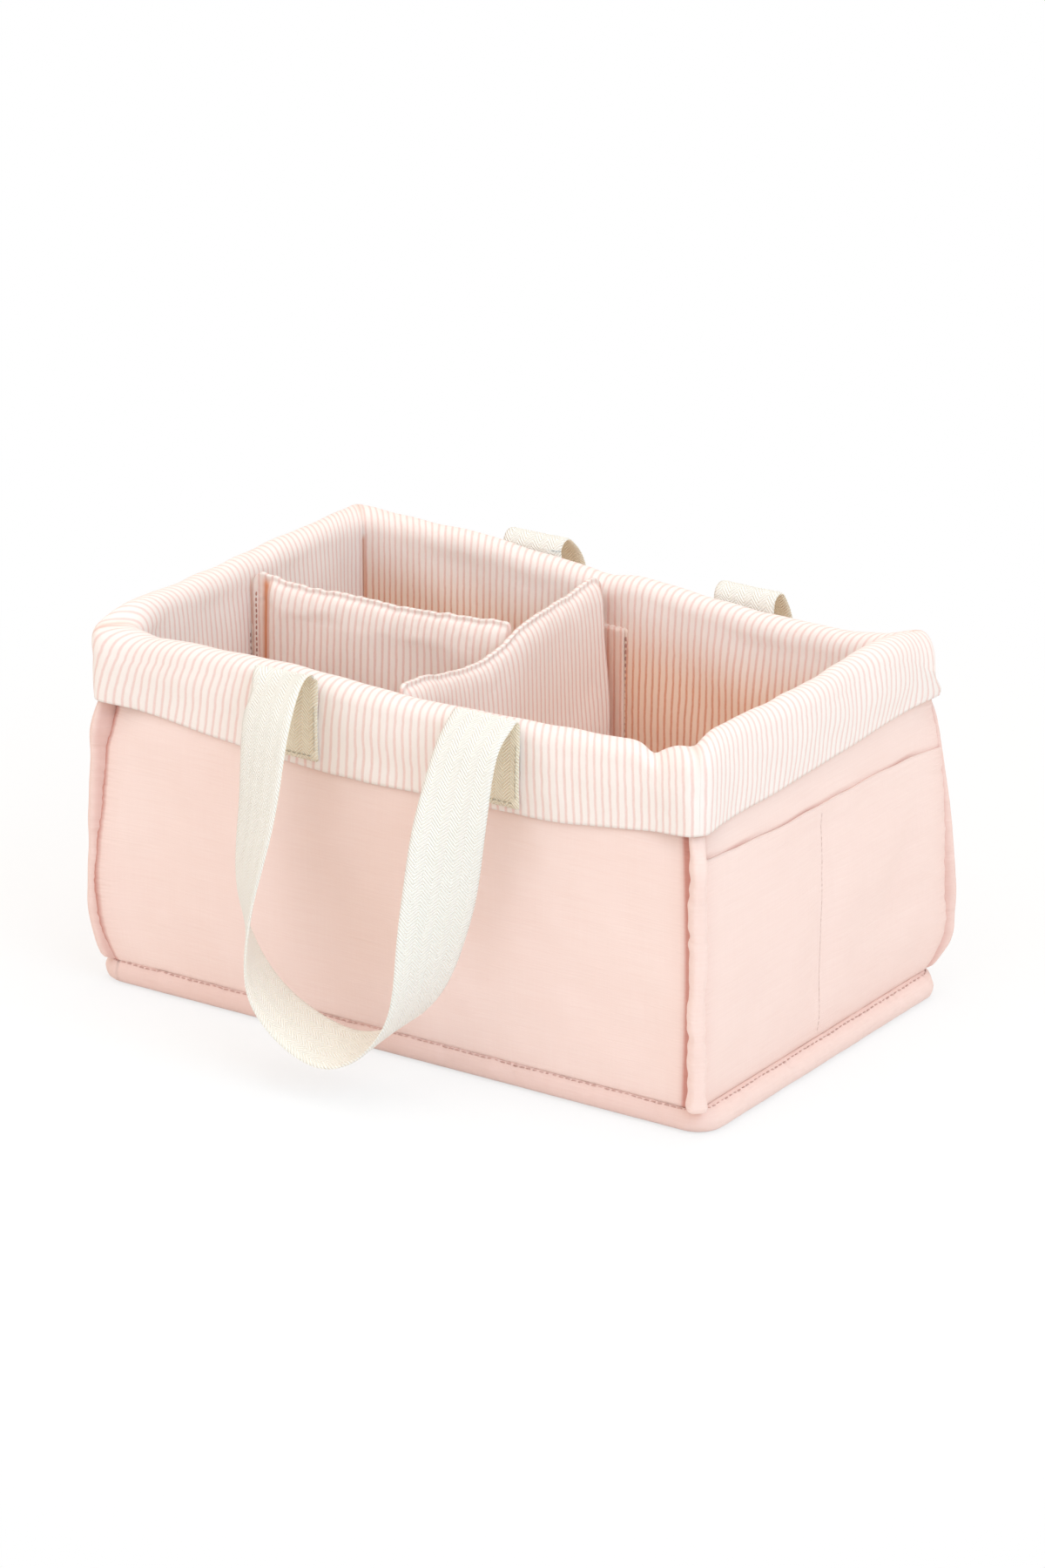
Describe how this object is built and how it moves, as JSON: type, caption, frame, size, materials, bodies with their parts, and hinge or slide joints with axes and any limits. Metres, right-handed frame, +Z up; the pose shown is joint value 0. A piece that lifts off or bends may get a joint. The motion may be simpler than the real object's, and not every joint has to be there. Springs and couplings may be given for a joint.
{
  "type": "diaper caddy",
  "caption": "Open padded cloth caddy with a turned-down striped cuff, swinging webbing handles, end pockets and lift-out dividers that make compartments.",
  "frame": {"origin": "on the floor under the middle of the basket", "axes": "+X along the length to the right, -Y out of the front, +Z up"},
  "size_m": [0.394, 0.3712, 0.205],
  "materials": {
    "outer_cloth": "plain pale pink cotton",
    "striped_cloth": "cream cotton with fine pink stripes",
    "webbing": "cream herringbone cotton",
    "wadding": "soft polyester wadding",
    "board": "flat stiffener sheet",
    "hook_tape": "woven tape with hooks",
    "loop_tape": "brushed loop tape"
  },
  "bodies": {
    "shell": {"base_cover": "outer_cloth", "base_board": "board", "base_pad": "wadding", "base_lining": "striped_cloth", "front_cover": "outer_cloth", "front_pad": "wadding", "front_lining": "striped_cloth", "back_cover": "outer_cloth", "back_pad": "wadding", "back_lining": "striped_cloth", "left_end_cover": "outer_cloth", "left_end_pad": "wadding", "left_end_lining": "striped_cloth", "right_end_cover": "outer_cloth", "right_end_pad": "wadding", "right_end_lining": "striped_cloth", "front_left_corner_seam": "outer_cloth", "front_right_corner_seam": "outer_cloth", "back_left_corner_seam": "outer_cloth", "back_right_corner_seam": "outer_cloth", "left_pocket": "outer_cloth", "right_pocket": "outer_cloth", "front_left_handle_tab": "webbing", "front_right_handle_tab": "webbing", "back_left_handle_tab": "webbing", "back_right_handle_tab": "webbing", "front_wall_loop_tape": "loop_tape", "back_wall_loop_tape": "loop_tape", "left_wall_loop_tape": "loop_tape"},
    "front_handle": {"front_handle_webbing": "webbing"},
    "back_handle": {"back_handle_webbing": "webbing"},
    "cross_divider": {"cross_divider_pad": "wadding", "cross_divider_left_cover": "striped_cloth", "cross_divider_right_cover": "striped_cloth", "cross_divider_front_hook_tape": "hook_tape", "cross_divider_back_hook_tape": "hook_tape", "cross_divider_loop_tape": "loop_tape"},
    "long_divider": {"long_divider_pad": "wadding", "long_divider_front_cover": "striped_cloth", "long_divider_back_cover": "striped_cloth", "long_divider_left_hook_tape": "hook_tape", "long_divider_right_hook_tape": "hook_tape"}
  },
  "joints": [
    {"name": "front_handle_swing", "type": "hinge", "parent": "shell", "child": "front_handle", "pos_m": [0, -0.11979, 0.2], "axis": [-1, 0, 0], "range_deg": [0, 180]},
    {"name": "back_handle_swing", "type": "hinge", "parent": "shell", "child": "back_handle", "pos_m": [0, 0.11979, 0.2], "axis": [1, 0, 0], "range_deg": [0, 180]},
    {"name": "cross_divider_lift", "type": "slide", "parent": "shell", "child": "cross_divider", "axis": [0, 0, 1], "range_m": [0, 0.165]},
    {"name": "long_divider_lift", "type": "slide", "parent": "shell", "child": "long_divider", "axis": [0, 0, 1], "range_m": [0, 0.195]}
  ]
}
